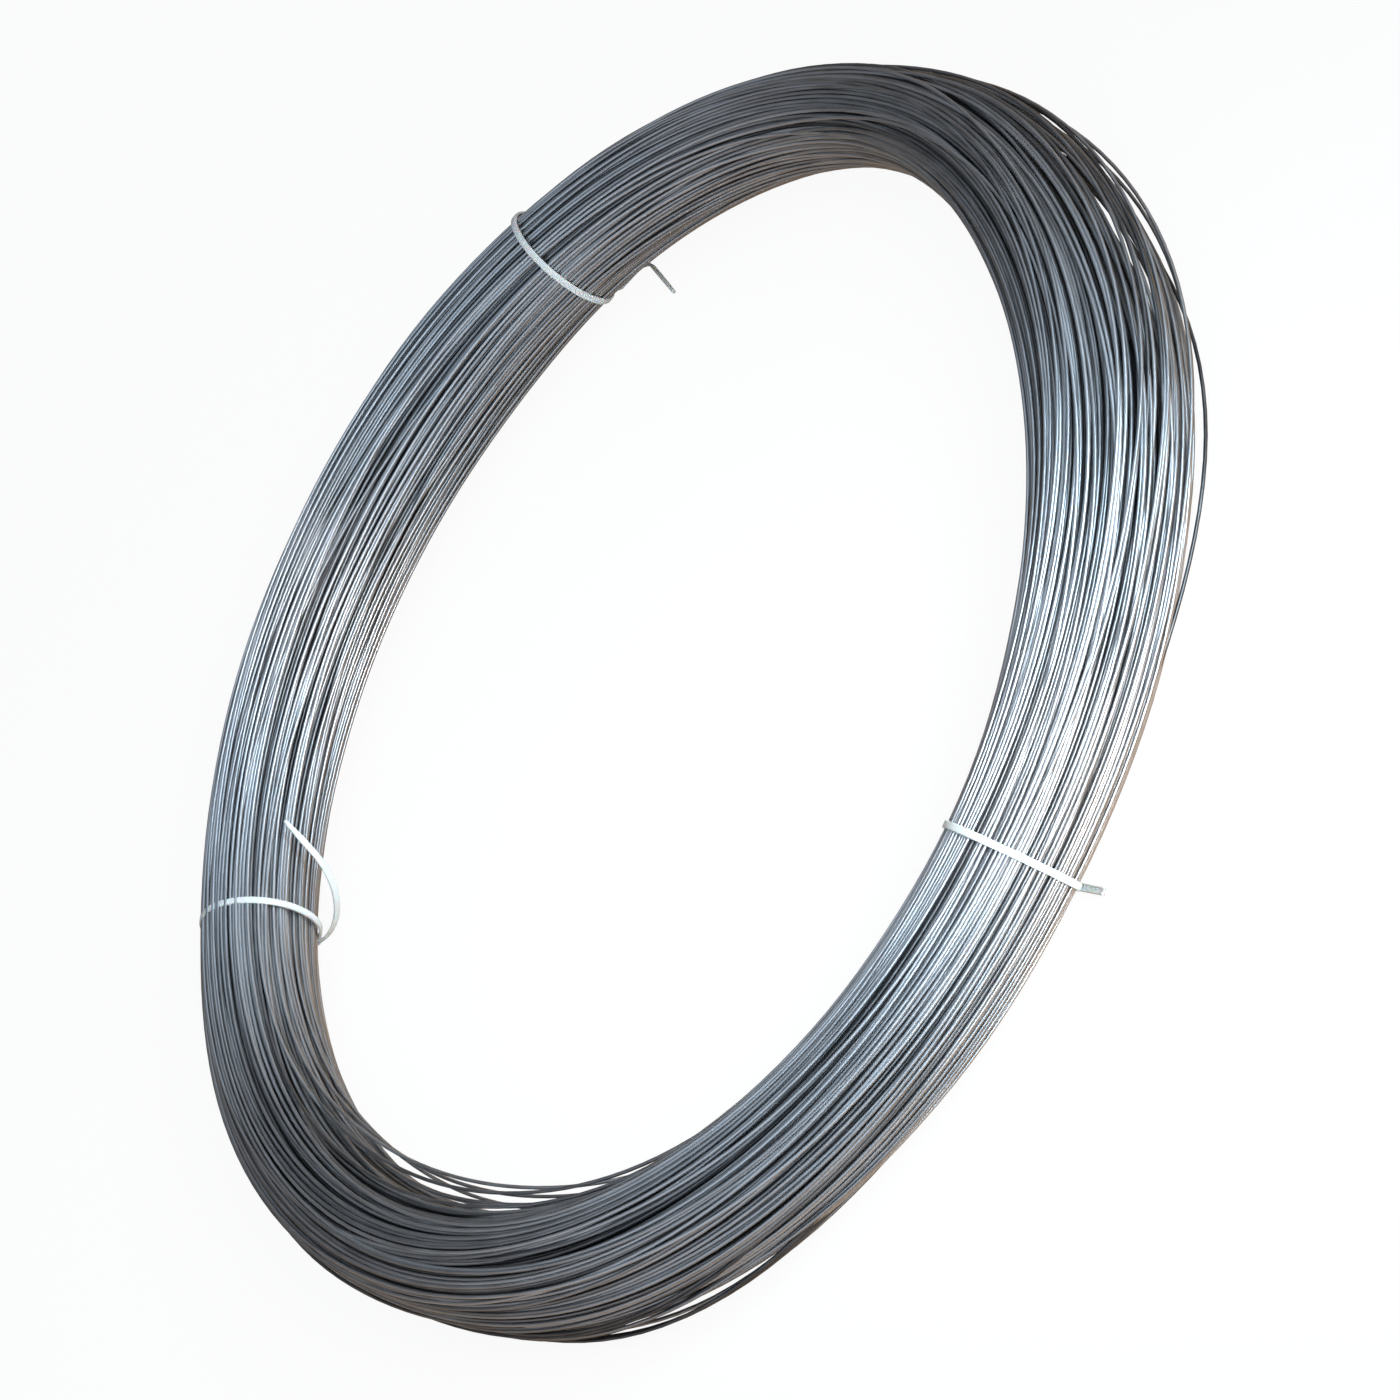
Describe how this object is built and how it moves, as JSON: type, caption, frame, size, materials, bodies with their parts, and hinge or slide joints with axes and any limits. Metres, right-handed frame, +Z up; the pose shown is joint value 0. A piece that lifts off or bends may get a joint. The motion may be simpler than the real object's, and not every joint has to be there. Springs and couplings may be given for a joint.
{
  "type": "coil of wire",
  "caption": "Coil of drawn steel wire lying flat: a round bundle of many turns with an open eye, bound at intervals with nylon cable ties.",
  "frame": {"origin": "on the coil's own axis, at the level of the floor that it lies on", "axes": "+Z up along the coil's axis, which is its shortest extent; +X and +Y in the plane of the coil"},
  "size_m": [0.4708, 0.4668, 0.0501],
  "materials": {
    "wire": "drawn and galvanised, semi-bright",
    "nylon": "natural nylon, slightly translucent"
  },
  "bodies": {
    "root": {"wire_coil": "wire", "loose_turns": "wire", "tie_1": "nylon", "tie_2": "nylon", "tie_3": "nylon"}
  },
  "joints": []
}
